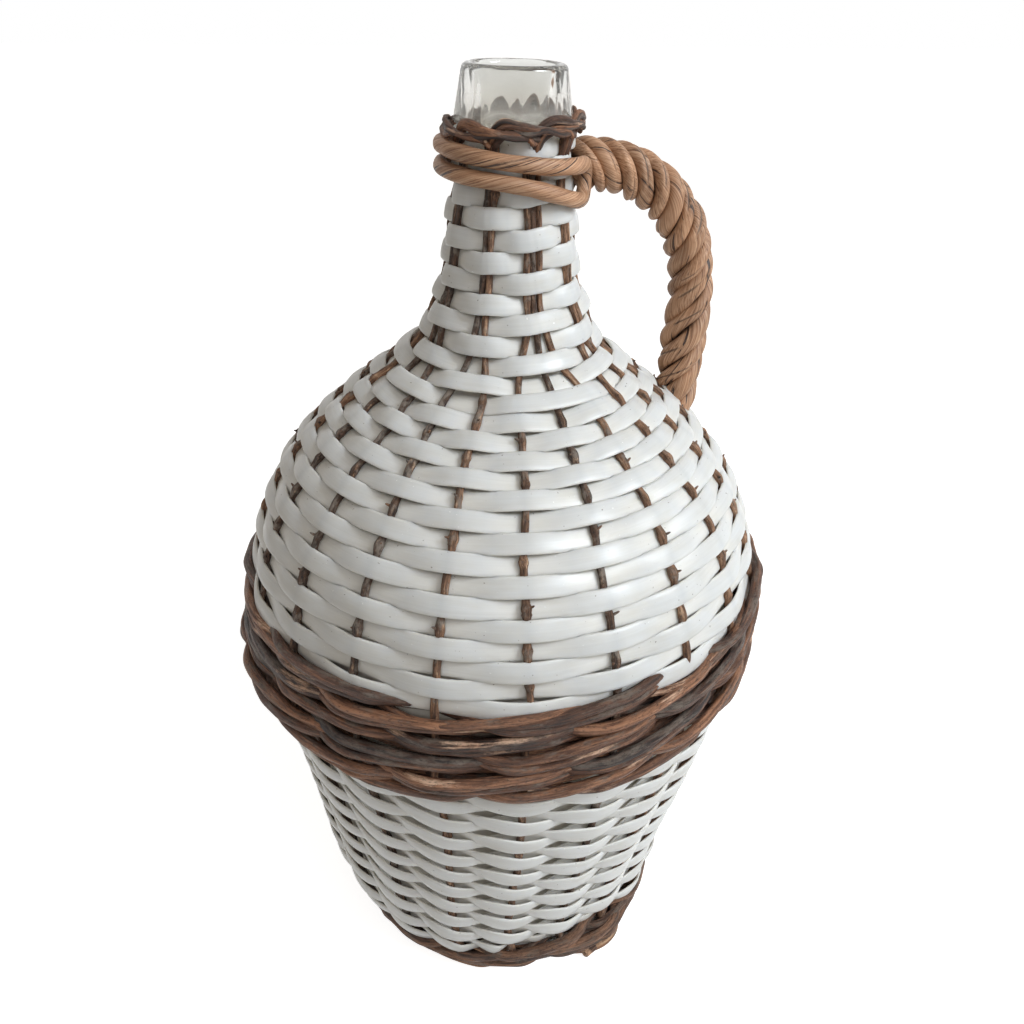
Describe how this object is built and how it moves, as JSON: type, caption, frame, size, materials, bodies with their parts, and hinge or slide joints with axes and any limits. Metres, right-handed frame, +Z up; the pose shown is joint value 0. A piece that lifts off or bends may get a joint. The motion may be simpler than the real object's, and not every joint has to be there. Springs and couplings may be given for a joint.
{
  "type": "demijohn",
  "caption": "Round-shouldered glass bottle with a short open neck, in a jacket of willow stakes woven with flat plastic strips, with a twisted carrying handle at the neck.",
  "frame": {"origin": "middle of the foot, on the ground", "axes": "+Z up along the bottle's axis to the mouth, +X towards the handle"},
  "size_m": [0.2204, 0.2211, 0.37],
  "materials": {
    "glass": "clear, smooth",
    "white_strip": "milky white, satin",
    "bark_willow": "bark left on, matt",
    "band_willow": "dark reddish bark, satin",
    "peeled_willow": "peeled, matt",
    "handle_willow": "twisted fibres, matt"
  },
  "bodies": {
    "root": {"glass_bottle": "glass", "stake_01": "bark_willow", "stake_02": "bark_willow", "stake_03": "bark_willow", "stake_04": "bark_willow", "stake_05": "bark_willow", "stake_06": "bark_willow", "stake_07": "bark_willow", "stake_08": "bark_willow", "stake_09": "bark_willow", "stake_10": "bark_willow", "stake_11": "bark_willow", "stake_12": "bark_willow", "stake_13": "bark_willow", "stake_14": "bark_willow", "stake_15": "bark_willow", "stake_16": "bark_willow", "stake_17": "bark_willow", "stake_18": "bark_willow", "stake_19": "bark_willow", "stake_20": "bark_willow", "stake_21": "bark_willow", "shoulder_strip": "white_strip", "neck_strip": "white_strip", "basket_strip_a": "white_strip", "basket_strip_b": "white_strip", "band_rod_1": "band_willow", "band_rod_2": "band_willow", "band_rod_3": "band_willow", "band_rod_4": "band_willow", "band_rod_5": "band_willow", "band_rod_6": "band_willow", "band_rod_7": "band_willow", "band_rod_8": "band_willow", "foot_rod_1": "peeled_willow", "foot_rod_2": "band_willow", "foot_rod_3": "band_willow", "foot_rod_4": "band_willow", "foot_rod_5": "band_willow", "collar_rod_1": "band_willow", "collar_rod_2": "band_willow", "collar_rod_3": "band_willow", "base_stick_1": "peeled_willow", "base_stick_2": "peeled_willow", "base_stick_3": "peeled_willow", "base_stick_4": "peeled_willow", "base_stick_5": "peeled_willow", "base_stick_6": "peeled_willow", "base_stick_7": "peeled_willow", "base_stick_8": "peeled_willow", "base_stick_9": "peeled_willow", "base_weave": "bark_willow", "neck_binding": "handle_willow", "handle_core": "handle_willow", "handle_strand_1": "handle_willow", "handle_strand_2": "handle_willow", "handle_strand_3": "handle_willow", "handle_strand_4": "handle_willow"}
  },
  "joints": []
}
